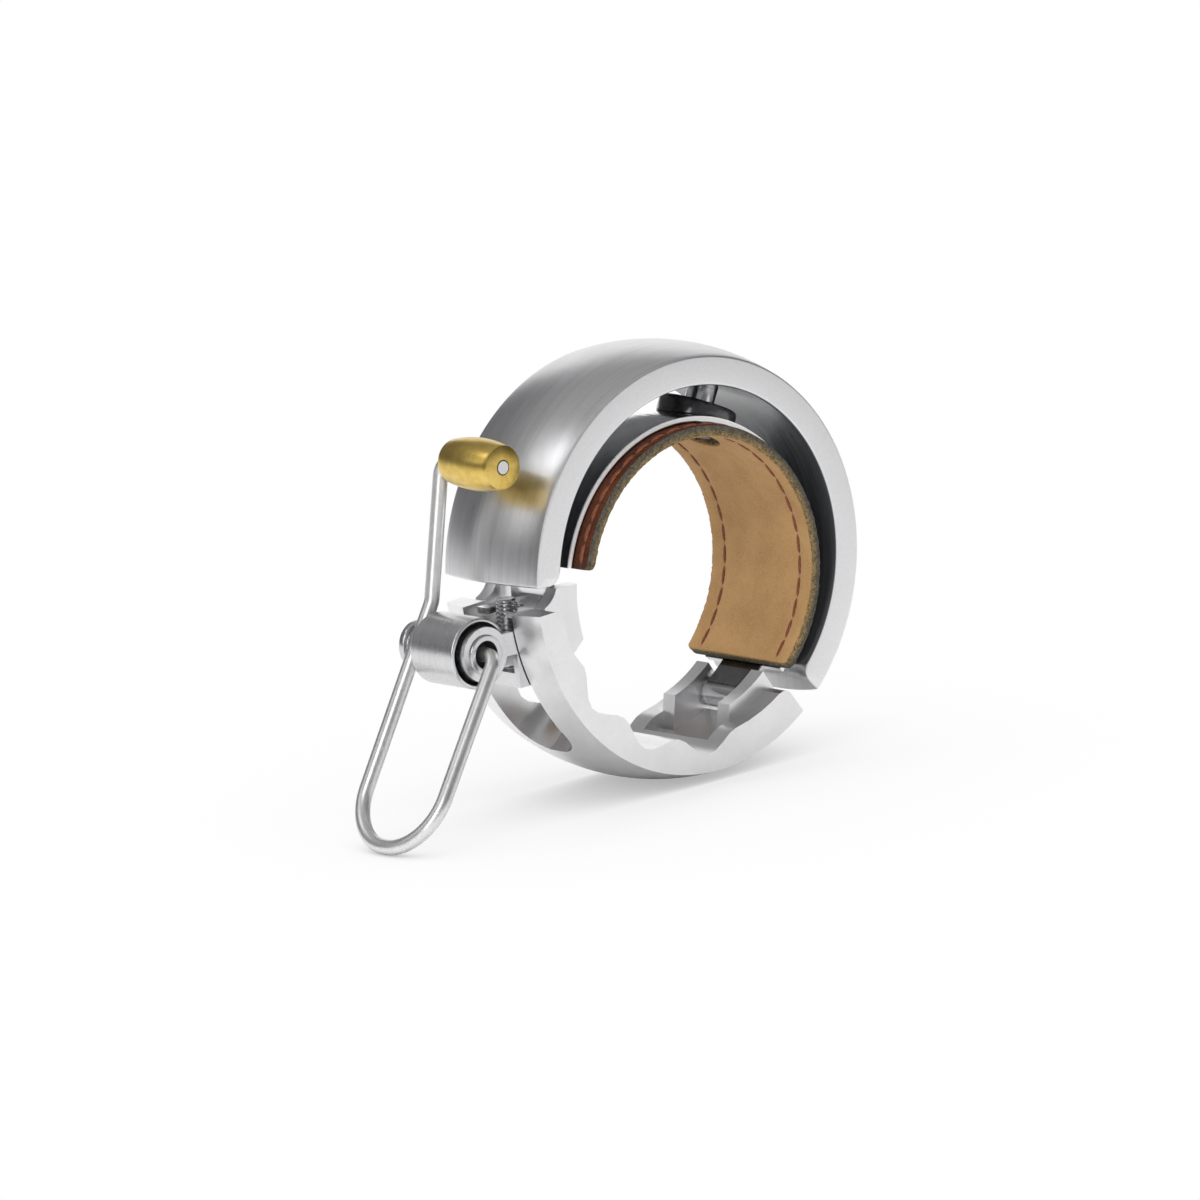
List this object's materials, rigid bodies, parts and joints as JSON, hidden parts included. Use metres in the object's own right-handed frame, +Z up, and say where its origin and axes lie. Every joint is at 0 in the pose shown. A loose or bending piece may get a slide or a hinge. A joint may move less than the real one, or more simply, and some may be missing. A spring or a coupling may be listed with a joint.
{
  "type": "bicycle bell",
  "caption": "Ring-shaped handlebar bell: C-shaped steel chime on a leather-lined band, hinged lower clamp and a sprung wire striker with a brass hammer.",
  "frame": {"origin": "on the handlebar's axis, in the middle of the bell's width", "axes": "+Y along the handlebar, away from the viewer; +Z up; the striker is at -X"},
  "size_m": [0.0681, 0.0174, 0.0494],
  "materials": {
    "brushed_steel": "brushed",
    "polished_steel": "polished",
    "satin_steel": "satin",
    "fastener_steel": "satin",
    "leather": "grain outside, suede inside",
    "black_rubber": "matt",
    "dark_plastic": "matt",
    "brass": "brushed"
  },
  "bodies": {
    "ring": {"chime": "brushed_steel", "band": "polished_steel", "leather_pad": "leather", "chime_post": "polished_steel", "damper": "black_rubber", "post_screw": "fastener_steel"},
    "clamp": {"clamp": "satin_steel", "hinge_pin": "fastener_steel", "hinge_washers": "fastener_steel", "trigger_bracket": "satin_steel", "bracket_pin": "fastener_steel", "pivot_rivet": "fastener_steel", "pivot_washer": "fastener_steel", "wire_bush": "dark_plastic", "torsion_spring": "fastener_steel", "screw_washer": "fastener_steel"},
    "screw": {"clamp_screw": "fastener_steel"},
    "trigger": {"barrel": "brushed_steel", "striker_wire": "polished_steel", "hammer": "brass"}
  },
  "joints": [
    {"name": "clamp_hinge", "type": "hinge", "parent": "ring", "child": "clamp", "pos_m": [0.00999, 0, -0.0163], "axis": [0, -1, 0], "range_deg": [-1, 45]},
    {"name": "trigger_pivot", "type": "hinge", "parent": "clamp", "child": "trigger", "pos_m": [-0.02837, 0, -0.0033], "axis": [0, -1, 0], "range_deg": [-3.5, 40], "stiffness_Nm_per_rad": 0.02, "deforming": ["torsion_spring"]},
    {"name": "screw_spin", "type": "hinge", "parent": "clamp", "child": "screw", "pos_m": [-0.02157, 0, 0], "axis": [0, 0, 1], "continuous": true}
  ]
}
